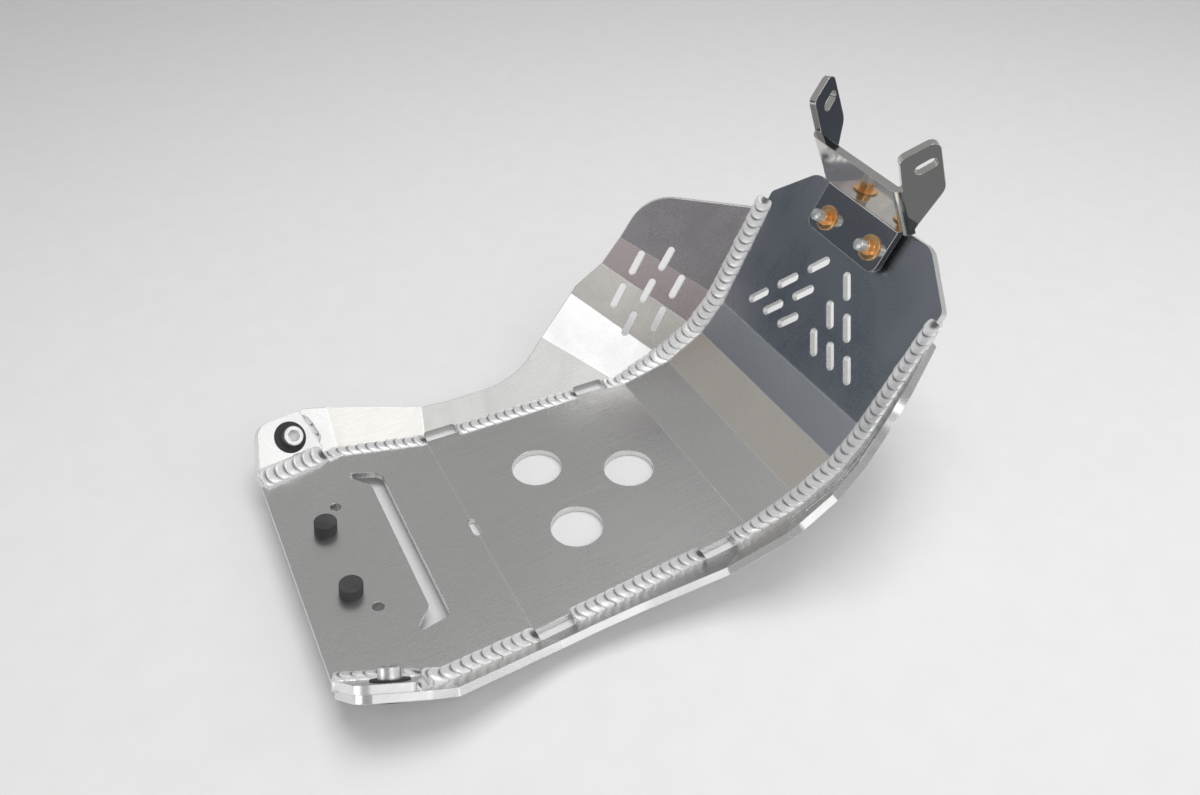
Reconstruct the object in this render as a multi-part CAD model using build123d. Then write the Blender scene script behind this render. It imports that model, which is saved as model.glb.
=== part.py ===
from build123d import *
from math import atan2, cos, degrees, radians, sin, tan
import os

# Frame: x forward to the front plate, y to the left, z up. Millimetres.
# The origin is on the underside of the middle flat, halfway between its two bends.

# Sheet, shared by base plate, wings, rear bosses and front bracket.
sheet = 5.0
bend_radius = 2.5

# Base plate, flat lengths on its upper face and their rise from level.
mid_length = 165.0
rear_length = 122.6
rear_rise = 9.5
strip_lengths = (40.5, 35.7, 29.9)
strip_rises = (15.3, 30.3, 50.3)
front_length = 124.3
front_rise = 62.1
waist_from_bend = 62.9
front_weld_length = 88.0

# Half widths of the base plate at its rear edge, waist, bends and weld end.
half_rear = 86.3
half_waist = 105.5
half_bend_1 = 97.7
half_bend_2 = 89.6
half_strips = 89.4
half_front = 92.6
front_top_half = 59.6
front_corner_along = 95.0
front_corner_radius = 6.0
front_top_radius = 14.0

# Round access holes in the middle flat.
access_diameter = 36.7
access_pair_x = -20.1
access_pair_y = 32.75
access_front_x = 38.9

# Oval hole on the rear bend.
oval_length = 17.0
oval_width = 6.0

# Cut-out across the rear flat, measured back from the rear bend.
cutout_front = 42.0
cutout_rear = 52.6
cutout_shift = 4.5
cutout_corner_half = 71.0
cutout_inner_half = 59.2
cutout_tip_back = 62.8
cutout_tip_half = 76.7
cutout_heel_back = 64.4
cutout_heel_half = 72.0
cutout_corner_round = 7.0
cutout_tip_round = 2.0
cutout_inner_round = 3.5

# Small holes, rubber buffers and their screws on the rear flat.
small_hole_back = 81.7
small_hole_half = 47.6
small_hole_shift = 2.9
small_hole_diameter = 7.6
buffer_back = 93.7
buffer_half = 29.4
buffer_shift = 1.7
buffer_diameter = 15.0
buffer_height = 8.5
buffer_round = 0.8
screw_diameter = 6.0
screw_clearance = 0.25
screw_depth = 5.0
screw_head_diameter = 10.5
screw_head_height = 3.0

# Two mirrored triangles of vents in the front plate: (along the plate, half).
plate_vents = ((71.1, 16.0), (47.7, 34.5), (24.3, 53.1), (47.7, 15.8), (24.4, 34.5), (24.3, 15.7))
plate_vent_length = 20.6
plate_vent_width = 6.4
plate_vent_lean = 38.4

# Wings: slope of each facet from the base facet that it joins, and root gaps.
wing_slopes = (46.5, 46.3, 45.1, 51.0, 54.3, 55.8, 55.6)
gap_rear = 2.7
gap_waist = 2.0
gap_root = 3.2
gap_front = 0.8

# Wing edge: heights up each fold line, left and right wing.
fold_heights_left = (37.7, 28.7, 75.6, 94.1, 96.7, 96.1)
fold_heights_right = (38.5, 32.5, 77.0, 92.0, 91.5, 92.0)
# Corners of the edge in the middle facet: (ahead of its rear fold or, when
# negative, behind its front fold, height, corner radius).
middle_edge_left = ((25.0, 27.0, 80.0), (-56.5, 28.4, 70.0))
middle_edge_right = ((25.0, 34.4, 80.0), (-70.0, 39.5, 120.0))
second_strip_corner = (7.5, 2.1, 12.0)
front_corner_height = 90.5
front_corner_from_root = 51.5
front_foot_left = 80.0
front_foot_right = 75.0
front_corner_round = 36.0
tab_top_end = 53.0
tab_top_round = 12.0

# Drain slots between base plate and wing, along the root of the middle facet.
drain_length = 24.8
drain_first = 0.8
drain_second = 125.3
drain_height = 8.9
drain_corner = 2.5

# Seven vents in each wing, on a skewed grid in the plane of the third strip's facet.
vent_centre = (2.7, 53.2)
vent_step_up = (14.0, 20.2)
vent_step_across = (29.9, 2.3)
vent_lean = 6.5
vent_spacing = 15.8
vent_width = 5.6

# Rear boss plates on the inner face of the wing tabs: (along, height, radius).
boss_outline = (
    (0.9, 9.4, 2.0),
    (13.4, 42.2, 12.0),
    (45.6, 42.4, 3.0),
    (48.6, 30.0, 12.0),
    (51.0, 9.0, 2.0),
)
tab_inset = 0.8
grommet_at = (32.0, 26.7)
grommet_hole = 18.6
grommet_flange_diameter = 22.9
grommet_flange = 1.0
sleeve_outer = 14.0
sleeve_bore = 8.2
sleeve_stand = 7.8

# Front bracket, its bolts and its bend, measured down from the front plate's upper edge.
bracket_foot = 33.4
bracket_drop = 0.3
bracket_half = 37.3
bracket_corner = 7.0
bracket_stand = 4.0
bracket_hole = 10.4
bracket_turn = 2.3
bracket_shift = 1.0
web_rise = 53.4
web_length = 40.8
web_half = 44.0
ear_flare = 21.4
ear_bend_radius = 1.5
# Ear in its own plane: (up the web, out from the web's rear face, corner radius).
ear_outline = ((65.8, 6.2, 5.0), (69.9, 31.5, 6.0), (29.3, 30.5, 12.0), (7.2, 9.8, 8.0))
ear_slot_centre = (53.4, 21.0)
ear_slot_spacing = 7.0
ear_slot_width = 7.6
ear_slot_lean = 77.8

# Bracket fasteners.
bolt_drop = 20.3
bolt_half = 22.9
bolt_diameter = 7.9
bolt_clearance = 0.3
bolt_tip = 20.0
bolt_chamfer = 0.8
bolt_head_diameter = 14.0
bolt_head_height = 4.5
nut_across_flats = 13.0
nut_flange_diameter = 17.9
nut_flange_height = 1.8
nut_height = 8.0
spacer_diameter = 18.0

# Weld beads: ripple pitch, height of the crown and of a ripple, reach on the plates.
ripple_pitch = 7.8
ripple_height = 0.75
ripple_bow = 3.2
ripple_front = 0.25
crown_height = 1.7
toe_on_base = 4.0
toe_on_wing = 7.6
toe_on_front_wing = 9.6
toe_on_boss = 14.0
bead_columns = 7
boss_front_toe = 5.0
bead_lap = 0.6
boss_bead_start = 15.5
boss_bead_short = 4.0

# Most of an edge that the rounds at its two ends may take.
edge_share = 0.99


def unit(v):
    return v.normalized()


def along_rise(start, length, rise):
    return (start[0] + length * cos(radians(rise)), start[1] + length * sin(radians(rise)))


# Side view of the upper face of the base plate: rear edge, bends, front end.
rear_bend = (-mid_length / 2, sheet)
front_bend = (mid_length / 2, sheet)
rear_end = (
    rear_bend[0] - rear_length * cos(radians(rear_rise)),
    rear_bend[1] + rear_length * sin(radians(rear_rise)),
)
waist = (
    rear_bend[0] - waist_from_bend * cos(radians(rear_rise)),
    rear_bend[1] + waist_from_bend * sin(radians(rear_rise)),
)
bend_3 = along_rise(front_bend, strip_lengths[0], strip_rises[0])
bend_4 = along_rise(bend_3, strip_lengths[1], strip_rises[1])
bend_5 = along_rise(bend_4, strip_lengths[2], strip_rises[2])
weld_end = along_rise(bend_5, front_weld_length, front_rise)
front_end = along_rise(bend_5, front_length, front_rise)

stations = (rear_end, waist, rear_bend, front_bend, bend_3, bend_4, bend_5, weld_end)
halves = (
    half_rear,
    half_waist,
    half_bend_1,
    half_bend_2,
    half_strips,
    half_strips,
    half_strips,
    half_front,
)
gaps = (gap_rear, gap_waist, gap_root, gap_root, gap_root, gap_root, gap_root, gap_front)

# Plane of the rear flat: x runs back from the rear bend, y to the right, z out of its
# upper face.
rear_plane = Plane(
    origin=(rear_bend[0], 0, rear_bend[1]),
    x_dir=(-cos(radians(rear_rise)), 0, sin(radians(rear_rise))),
    z_dir=(sin(radians(rear_rise)), 0, cos(radians(rear_rise))),
)
# Plane of the front plate: x runs up the plate, y to the left, z into the bowl.
front_plane = Plane(
    origin=(bend_5[0], 0, bend_5[1]),
    x_dir=(cos(radians(front_rise)), 0, sin(radians(front_rise))),
    z_dir=(-sin(radians(front_rise)), 0, cos(radians(front_rise))),
)


def rounded(corners):
    """Face through corners (x, y, radius). Where two rounds share a short edge, both get smaller."""
    points = [Vector(x, y) for x, y, r in corners]
    ahead = points[1:] + points[:1]
    behind = points[-1:] + points[:-1]
    turns = [180 - (a - p).get_angle(b - p) for a, p, b in zip(behind, points, ahead)]
    taken = [r * tan(radians(turn / 2)) for (x, y, r), turn in zip(corners, turns)]
    fit = [1.0] * len(points)
    for i, (start, end) in enumerate(zip(points, ahead)):
        j = (i + 1) % len(points)
        room = edge_share * (end - start).length
        keep = min(1.0, room / max(room, taken[i] + taken[j]))
        fit[i] = min(fit[i], keep)
        fit[j] = min(fit[j], keep)
    face = make_face(Polyline(*points, close=True))
    for (x, y, r), keep in zip(corners, fit):
        if r > 0:
            corner = face.vertices().sort_by_distance(Vector(x, y, 0))[0]
            face = fillet(corner, r * keep)
    return face


def slot(x0, y0, x1, y1, width):
    """Round-ended slot between two cap centres."""
    mid = ((x0 + x1) / 2, (y0 + y1) / 2)
    turn = degrees(atan2(y1 - y0, x1 - x0))
    length = ((x1 - x0) ** 2 + (y1 - y0) ** 2) ** 0.5
    return Pos(mid[0], mid[1]) * Rot(0, 0, turn) * SlotCenterToCenter(length, width)


def through(plane, sketch, depth=14.0):
    """Cutter that runs the sketch through a sheet in both directions."""
    return extrude(plane * sketch, amount=depth, both=True)


def side_offset(points, distance):
    """Side-view line moved towards the underside by a distance, with mitred corners."""
    moved = []
    for i, (x, z) in enumerate(points):
        before = points[max(i - 1, 0)]
        after = points[min(i + 1, len(points) - 1)]
        a = unit(Vector(x - before[0], z - before[1])) if i > 0 else None
        b = unit(Vector(after[0] - x, after[1] - z)) if i < len(points) - 1 else None
        a = b if a is None else a
        b = a if b is None else b
        na = Vector(a.Y, -a.X)
        nb = Vector(b.Y, -b.X)
        mitre = (na + nb) * (distance / (1 + na.dot(nb)))
        moved.append((x + mitre.X, z + mitre.Y))
    return moved


upper_line = (rear_end, rear_bend, front_bend, bend_3, bend_4, bend_5, front_end)


def make_base_plate():
    # The profile runs past the front end, which the cut of the upper corners then squares.
    beyond = along_rise(front_end, 2 * sheet, front_rise)
    lower_line = side_offset((*upper_line[:-1], beyond), sheet)
    corners = [(rear_end[0], rear_end[1], 0)]
    corners += [(x, z, bend_radius) for x, z in upper_line[1:-1]]
    corners += [(beyond[0], beyond[1], 0), (lower_line[-1][0], lower_line[-1][1], 0)]
    corners += [(x, z, bend_radius + sheet) for x, z in reversed(lower_line[1:-1])]
    corners += [(lower_line[0][0], lower_line[0][1], 0)]
    plate = extrude(Plane.XZ * rounded(corners), amount=1.5 * half_waist, both=True)

    edge = [(x, h) for (x, z), h in zip(stations, halves)]
    slope = (edge[1][1] - edge[0][1]) / (edge[1][0] - edge[0][0])
    edge[0] = (edge[0][0] - 2 * sheet, edge[0][1] - 2 * sheet * slope)
    slope = (edge[-1][1] - edge[-2][1]) / (edge[-1][0] - edge[-2][0])
    tail = front_length * cos(radians(front_rise))
    edge[-1] = (edge[-1][0] + tail, edge[-1][1] + tail * slope)
    plan = Polyline(*(edge + [(x, -h) for x, h in reversed(edge)]), close=True)
    plate &= Pos(0, 0, -3 * sheet) * extrude(make_face(plan), amount=2 * front_length)

    # The upper corners of the front plate are cut square to its face.
    lean = (half_front - front_top_half) / (front_length - front_corner_along)
    reach = 3 * half_front
    start = front_length - (reach - front_top_half) / lean
    crown = Polyline(
        (-4 * mid_length, -reach),
        (start, -reach),
        (front_length, -front_top_half),
        (front_length, front_top_half),
        (start, reach),
        (-4 * mid_length, reach),
        close=True,
    )
    plate &= extrude(front_plane * make_face(crown), amount=3 * mid_length, both=True)
    for side in (1, -1):
        for along, half, radius in (
            (front_corner_along, half_front, front_corner_radius),
            (front_length, front_top_half, front_top_radius),
        ):
            spot = front_plane.from_local_coords(Vector(along, side * half, -sheet / 2))
            across = [e for e in plate.edges() if e.length < 1.3 * sheet]
            corner = min(across, key=lambda e: (e.center() - spot).length)
            plate = fillet(corner, radius)

    for x, y in (
        (access_pair_x, access_pair_y),
        (access_pair_x, -access_pair_y),
        (access_front_x, 0),
    ):
        plate -= Pos(x, y, sheet / 2) * Cylinder(access_diameter / 2, 3 * sheet)
    half_oval = (oval_length - oval_width) / 2
    plate -= through(
        Plane.XY.offset(sheet), slot(rear_bend[0], -half_oval, rear_bend[0], half_oval, oval_width)
    )

    # y runs to the right in the rear plane, so a shift to the left is taken off.
    corners = []
    for side in (1, -1):
        foot = [
            (cutout_front, cutout_corner_half, cutout_corner_round),
            (cutout_tip_back, cutout_tip_half, cutout_tip_round),
            (cutout_heel_back, cutout_heel_half, cutout_tip_round),
            (cutout_rear, cutout_inner_half, cutout_inner_round),
        ]
        foot = foot if side > 0 else foot[::-1]
        corners += [(x, side * h - cutout_shift, r) for x, h, r in foot]
    plate -= through(rear_plane, rounded(corners))
    for side in (1, -1):
        hole = Pos(small_hole_back, side * small_hole_half - small_hole_shift)
        plate -= through(rear_plane, hole * Circle(small_hole_diameter / 2))
        hole = Pos(buffer_back, side * buffer_half - buffer_shift)
        plate -= through(rear_plane, hole * Circle(screw_diameter / 2 + screw_clearance))
        plate -= through(
            front_plane, Pos(bolt_along, side * bolt_half) * Circle(bolt_diameter / 2 + bolt_clearance)
        )
        reach = (plate_vent_length - plate_vent_width) / 2
        dx = reach * cos(radians(plate_vent_lean))
        dy = -side * reach * sin(radians(plate_vent_lean))
        for along, half in plate_vents:
            y = side * half
            plate -= through(
                front_plane, slot(along - dx, y - dy, along + dx, y + dy, plate_vent_width)
            )
    return plate


def facet_planes():
    """Planes of the inner faces of the left wing's facets: x along the root, y up the wing."""
    planes = []
    for i, slope in enumerate(wing_slopes):
        a, b = stations[i], stations[i + 1]
        level = unit(Vector(b[0] - a[0], 0, b[1] - a[1]))
        normal = Vector(-level.Z, 0, level.X)
        start = Vector(a[0], halves[i] + gaps[i], a[1]) - normal * sheet
        end = Vector(b[0], halves[i + 1] + gaps[i + 1], b[1]) - normal * sheet
        run = unit(end - start)
        out = normal.cross(run)
        up = out * cos(radians(slope)) + normal * sin(radians(slope))
        planes.append(Plane(origin=start, x_dir=run, z_dir=run.cross(up)))
    return planes


facets = facet_planes()


def fold_lines():
    """Fold lines between neighbouring facets: a point on the root and a direction up the fold."""
    lines = []
    for low, high in zip(facets, facets[1:]):
        direction = unit(low.z_dir.cross(high.z_dir))
        direction = direction if direction.Y > 0 else -direction
        # The point on both planes nearest to the root corner.
        point = high.origin
        for _ in range(60):
            point = point - low.z_dir * (point - low.origin).dot(low.z_dir)
            point = point - high.z_dir * (point - high.origin).dot(high.z_dir)
        rise = (point - high.origin).dot(high.y_dir) / direction.dot(high.y_dir)
        lines.append((point - direction * rise, direction))
    return lines


folds = fold_lines()


def local(plane, point):
    p = plane.to_local_coords(point)
    return (p.X, p.Y)


def make_wing(fold_heights, middle_edge, front_foot):
    below = -9.0
    low = [p + d * below for p, d in folds]
    high = [p + d * h for (p, d), h in zip(folds, fold_heights)]
    wing = None
    for i, plane in enumerate(facets):
        corners = []
        if i == 0:
            rear, top = boss_outline[0], boss_outline[1]
            corners.append((rear[0] + tab_inset, below, 0))
            corners.append((rear[0] + tab_inset, rear[1], rear[2]))
            corners.append((top[0] + tab_inset, top[1], top[2]))
            corners.append((tab_top_end, top[1], tab_top_round))
        else:
            corners.append((*local(plane, low[i - 1]), 0))
            corners.append((*local(plane, high[i - 1]), 0))
        if i == 2:
            for s, w, r in middle_edge:
                foot = folds[1] if s > 0 else folds[2]
                base = local(plane, foot[0])
                up = local(plane, foot[0] + foot[1])
                at = base[0] + (up[0] - base[0]) * (w - base[1]) / (up[1] - base[1])
                corners.append((at + s, w, r))
        if i == 4:
            ahead, lift, r = second_strip_corner
            x, y = local(plane, high[3])
            corners.append((x + ahead, y + lift, r))
        if i == len(facets) - 1:
            corners.append((front_corner_from_root, front_corner_height, front_corner_round))
            lean = (front_foot - front_corner_from_root) / front_corner_height
            corners.append((front_foot - lean * below, below, 0))
        else:
            corners.append((*local(plane, high[i]), 0))
            corners.append((*local(plane, low[i]), 0))
        piece = extrude(plane * rounded(corners), amount=sheet, dir=-plane.z_dir)
        wing = piece if wing is None else wing + piece
    for i, (point, direction) in enumerate(folds):
        n = facets[i].z_dir
        flank = Face(Wire.make_polygon([low[i], high[i], high[i] - n * sheet, low[i] - n * sheet]))
        turn = n.get_angle(facets[i + 1].z_dir)
        axis = direction if n.cross(facets[i + 1].z_dir).dot(direction) > 0 else -direction
        wing += revolve(flank, axis=Axis(point, axis), revolution_arc=turn)

    # The lower edge is cut level with the underside of the base plate.
    ends = (along_rise(rear_end, -40.0, -rear_rise), along_rise(front_end, 40.0, front_rise))
    line = side_offset((ends[0], *upper_line[1:-1], ends[1]), sheet)
    deep = side_offset((ends[0], *upper_line[1:-1], ends[1]), 6 * sheet)
    under = make_face(Polyline(*(line + deep[::-1]), close=True))
    wing -= Pos(0, half_rear / 2, 0) * extrude(Plane.XZ * under, amount=-2.5 * half_rear)

    middle = facets[2]
    for start in (drain_first, drain_second):
        notch = rounded(
            [
                (start, -3 * drain_height, 0),
                (start, drain_height, drain_corner),
                (start + drain_length, drain_height, drain_corner),
                (start + drain_length, -3 * drain_height, 0),
            ]
        )
        wing -= through(middle, notch)

    third = facets[5]
    a, b = vent_step_up, vent_step_across
    steps = ((0, 0), a, b, (b[0] - a[0], b[1] - a[1]))
    spots = {(vent_centre[0] + k * x, vent_centre[1] + k * y) for x, y in steps for k in (1, -1)}
    reach = vent_spacing / 2
    dx = reach * cos(radians(vent_lean))
    dy = reach * sin(radians(vent_lean))
    for x, y in sorted(spots):
        wing -= through(third, slot(x - dx, y - dy, x + dx, y + dy, vent_width), 20.0)
    wing -= through(facets[0], Pos(*grommet_at) * Circle(grommet_hole / 2))
    return wing


def make_boss_plate():
    plate = extrude(facets[0] * rounded(boss_outline), amount=sheet, dir=facets[0].z_dir)
    return plate - through(facets[0], Pos(*grommet_at) * Circle(grommet_hole / 2))


def grommet_plane(lift):
    return Plane(
        origin=facets[0].from_local_coords(Vector(grommet_at[0], grommet_at[1], lift)),
        x_dir=facets[0].x_dir,
        z_dir=facets[0].z_dir,
    )


def make_grommet():
    """Rubber ring with a flange on each side, through wing and boss plate."""
    outer = grommet_flange_diameter / 2
    body = grommet_hole / 2
    inner = sleeve_outer / 2
    bottom, top = -sheet, sheet
    ring = Polyline(
        (inner, bottom - grommet_flange),
        (outer - 0.4, bottom - grommet_flange),
        (outer, bottom - 0.3),
        (outer, bottom),
        (body, bottom),
        (body, top),
        (outer, top),
        (outer, top + 0.3),
        (outer - 0.4, top + grommet_flange),
        (inner, top + grommet_flange),
        close=True,
    )
    solid = revolve(Plane.XZ * make_face(ring), axis=Axis.Z)
    return grommet_plane(0).location * solid


def make_sleeve():
    low = -sheet - grommet_flange
    high = sheet + sleeve_stand
    rim = 0.5
    wall = Polyline(
        (sleeve_bore / 2, low),
        (sleeve_outer / 2, low),
        (sleeve_outer / 2, high - rim),
        (sleeve_outer / 2 - rim, high),
        (sleeve_bore / 2, high),
        close=True,
    )
    return grommet_plane(0).location * revolve(Plane.XZ * make_face(wall), axis=Axis.Z)


def make_buffer(side):
    spot = rear_plane * Pos(buffer_back, side * buffer_half - buffer_shift, buffer_height / 2)
    body = Cylinder(buffer_diameter / 2, buffer_height)
    body = fillet(body.edges().sort_by(Axis.Z)[-1], buffer_round)
    seat = Pos(0, 0, -(buffer_height - screw_depth) / 2) * Cylinder(screw_diameter / 2, screw_depth)
    return spot * (body - seat)


def make_buffer_screw(side):
    spot = rear_plane * Pos(buffer_back, side * buffer_half - buffer_shift, 0)
    shank = Pos(0, 0, (screw_depth - sheet) / 2) * Cylinder(screw_diameter / 2, screw_depth + sheet)
    head = Pos(0, 0, -sheet - screw_head_height / 2) * Cylinder(screw_head_diameter / 2, screw_head_height)
    head = fillet(head.edges().sort_by(Axis.Z)[0], 1.2)
    socket = Pos(0, 0, -sheet - screw_head_height + 0.9) * RegularPolygon(2.3, 6, major_radius=False)
    return spot * (shank + head - extrude(socket, amount=-2.0))


bolt_along = front_length - bolt_drop
bracket_start = front_length - bracket_foot
bracket_bend = front_length - bracket_drop
bracket_top = bracket_stand + sheet
web_up = unit(front_plane.x_dir * cos(radians(web_rise)) + front_plane.z_dir * sin(radians(web_rise)))
web_rear = unit(front_plane.z_dir * cos(radians(web_rise)) - front_plane.x_dir * sin(radians(web_rise)))


def ear_plane(side):
    """Outer face of an ear: x up the web, y along the ear. Side 1 is the left ear."""
    corner = front_plane.from_local_coords(Vector(bracket_bend, side * web_half, bracket_top))
    out = front_plane.y_dir * (side * sin(radians(ear_flare))) - web_rear * cos(radians(ear_flare))
    return Plane(origin=corner, x_dir=web_up, z_dir=web_up.cross(out))


def turned(shape):
    """The bracket sits slightly askew on its bolts, as their holes in it allow."""
    centre = front_plane.from_local_coords(Vector(bolt_along, 0, 0))
    return shape.rotate(Axis(centre, front_plane.z_dir), -bracket_turn)


def make_front_bracket():
    # Foot and web. In the side plane x runs up the front plate and y into the bowl.
    low, top = bracket_stand, bracket_top
    web = Vector(cos(radians(web_rise)), sin(radians(web_rise)))
    bend = Vector(bracket_bend, top)
    tip = bend + web * web_length
    back = Vector(web.Y, -web.X) * sheet
    knee = sheet * tan(radians(web_rise / 2))
    side_plane = Plane(
        origin=front_plane.origin, x_dir=front_plane.x_dir, z_dir=-front_plane.y_dir
    )
    strip = rounded(
        [
            (bracket_start, low, 0),
            (bracket_bend + knee, low, bend_radius + sheet),
            ((tip + back).X, (tip + back).Y, 0),
            (tip.X, tip.Y, 0),
            (bend.X, bend.Y, bend_radius),
            (bracket_start, top, 0),
        ]
    )
    plate = extrude(side_plane * strip, amount=bracket_half, both=True)
    near = [
        (bracket_start, -bracket_half, bracket_corner),
        (bracket_start, bracket_half, bracket_corner),
        (2 * bracket_bend, bracket_half, 0),
        (2 * bracket_bend, -bracket_half, 0),
    ]
    plate &= extrude(front_plane * rounded(near), amount=3 * web_length, both=True)

    # The web is a shallow flared channel whose flanges run on into the two ears.
    s, c = sin(radians(ear_flare)), cos(radians(ear_flare))
    lip = sheet + 1.5 * ear_bend_radius
    inner = sheet * (1 - s) / c
    half = [
        (web_half, 0, ear_bend_radius + sheet),
        (web_half + lip * s, lip * c, 0),
        (web_half + lip * s - sheet * c, lip * c + sheet * s, 0),
        (web_half - sheet * c + inner * s, sheet, ear_bend_radius),
    ]
    channel = half + [(-x, y, r) for x, y, r in reversed(half)]
    centre = front_plane.from_local_coords(Vector(bend.X, 0, bend.Y))
    across = Plane(origin=centre, x_dir=front_plane.y_dir, z_dir=-web_up)
    plate += extrude(across * rounded(channel), amount=web_length, dir=web_up)

    foot = (ear_bend_radius + sheet) * tan(radians((90 - ear_flare) / 2))
    ear = rounded([(0, foot, 0), (web_length, foot, 0), *ear_outline])
    reach = ear_slot_spacing / 2
    dx = reach * cos(radians(ear_slot_lean))
    dy = reach * sin(radians(ear_slot_lean))
    x, y = ear_slot_centre
    ear -= slot(x - dx, y - dy, x + dx, y + dy, ear_slot_width)
    for side in (1, -1):
        plane = ear_plane(side)
        outward = front_plane.y_dir * (side * c) + web_rear * s
        plate += extrude(plane * ear, amount=sheet, dir=-outward)
    plate = Pos(0, bracket_shift, 0) * plate
    for side in (1, -1):
        hole = Pos(bolt_along, side * bolt_half) * Circle(bracket_hole / 2)
        plate -= extrude(front_plane * hole, amount=bracket_top + 1.0)
    return turned(plate)


def bolt_spot(side):
    return front_plane * Pos(bolt_along, side * bolt_half, 0)


def make_bolt(side):
    radius = bolt_diameter / 2
    head = -sheet - bolt_head_height
    shape = Polyline(
        (0, head),
        (bolt_head_diameter / 2 - 2.2, head),
        (bolt_head_diameter / 2 - 0.7, head + 1.5),
        (bolt_head_diameter / 2, head + 3.2),
        (bolt_head_diameter / 2, -sheet),
        (radius, -sheet),
        (radius, bolt_tip - bolt_chamfer),
        (radius - bolt_chamfer, bolt_tip),
        (0, bolt_tip),
        close=True,
    )
    body = revolve(Plane.XZ * make_face(shape), axis=Axis.Z)
    socket = Pos(0, 0, head) * RegularPolygon(2.6, 6, major_radius=False)
    return bolt_spot(side) * (body - extrude(socket, amount=2.4))


def make_nut(side):
    base = bracket_stand + sheet
    radius = nut_flange_diameter / 2
    flange = Polyline(
        (bolt_diameter / 2, base),
        (radius, base),
        (radius, base + 0.7),
        (nut_across_flats / 2 + 0.6, base + nut_flange_height + 0.5),
        (bolt_diameter / 2, base + nut_flange_height + 0.5),
        close=True,
    )
    skirt = revolve(Plane.XZ * make_face(flange), axis=Axis.Z)
    hexagon = RegularPolygon(nut_across_flats / 2, 6, major_radius=False) - Circle(bolt_diameter / 2)
    prism = Pos(0, 0, base + nut_flange_height / 2) * extrude(hexagon, amount=nut_height - nut_flange_height / 2)
    cone_radius = nut_across_flats / 2 + 0.45
    top = base + nut_height
    limit = Polyline(
        (0, base),
        (nut_flange_diameter, base),
        (nut_flange_diameter, top - (nut_flange_diameter - cone_radius) * tan(radians(28))),
        (cone_radius, top),
        (0, top),
        close=True,
    )
    prism &= revolve(Plane.XZ * make_face(limit), axis=Axis.Z)
    return bolt_spot(side) * (skirt + prism)


def make_spacer(side):
    ring = Circle(spacer_diameter / 2) - Circle(bolt_diameter / 2)
    return bolt_spot(side) * extrude(ring, amount=bracket_stand)


def closed_solid(rows):
    """Solid through rows of points, each row a closed loop of the same number of points."""
    count = len(rows[0])
    sides = []
    for near, far in zip(rows, rows[1:]):
        for i in range(count):
            j = (i + 1) % count
            sides.append(Face(Wire.make_polygon([near[i], near[j], far[j]])))
            sides.append(Face(Wire.make_polygon([near[i], far[j], far[i]])))
    for row in (rows[0], rows[-1]):
        middle = sum(row, Vector()) / count
        for i in range(count):
            sides.append(Face(Wire.make_polygon([row[i], row[(i + 1) % count], middle])))
    return Solid(Shell(sides))


def on_wing(point):
    """Point moved square to the wing onto its inner face, and the face's direction there."""
    depths = [((point - p.origin).dot(p.z_dir), i) for i, p in enumerate(facets)]
    depth, i = min(depths)
    return point - facets[i].z_dir * depth, facets[i].z_dir


def seam_frame(distance):
    """Place on the base plate's upper edge at a distance from its rear corner, and directions."""
    points = [Vector(x, h, z) for (x, z), h in zip(stations, halves)]
    runs = [b - a for a, b in zip(points, points[1:])]
    starts = [0.0]
    for run in runs:
        starts.append(starts[-1] + run.length)
    i = max(k for k in range(len(runs)) if distance >= starts[k] or k == 0)
    place = points[i] + unit(runs[i]) * (distance - starts[i])

    def directions(k):
        level = unit(Vector(runs[k].X, 0, runs[k].Z))
        return unit(runs[k]), Vector(-level.Z, 0, level.X)

    run, normal = directions(i)
    blend = 5.0
    for k, other in ((i, i - 1), (i + 1, i + 1)):
        gap = abs(distance - starts[k])
        if gap < blend and 0 <= other < len(runs):
            share = 0.5 * (1 - gap / blend)
            r2, n2 = directions(other)
            run = unit(run * (1 - share) + r2 * share)
            normal = unit(normal * (1 - share) + n2 * share)
    normal = unit(normal - run * normal.dot(run))
    part = (distance - starts[i]) / runs[i].length
    gap = gaps[i] + (gaps[i + 1] - gaps[i]) * part
    slope = wing_slopes[i]
    return place, run, normal, gap, slope


def station_distance(k):
    points = [Vector(x, h, z) for (x, z), h in zip(stations, halves)]
    return sum((b - a).length for a, b in zip(points[:k], points[1 : k + 1]))


def ripple_rows(start, end):
    """Rows of a bead: distance, ripple height, bow and the number of the ripple."""
    count = max(2, round((end - start) / ripple_pitch))
    pitch = (end - start) / count
    rows = []
    for i in range(count):
        for part, height in ((0.0, 0.0), (ripple_front, 1.0)):
            past = (i + part) * pitch
            bow = max(0.0, min(1.0, (past - 0.4) / ripple_bow))
            rows.append((start + past, height, bow, i))
    rows.append((end, 0.0, 0.0, count))
    return rows


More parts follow.
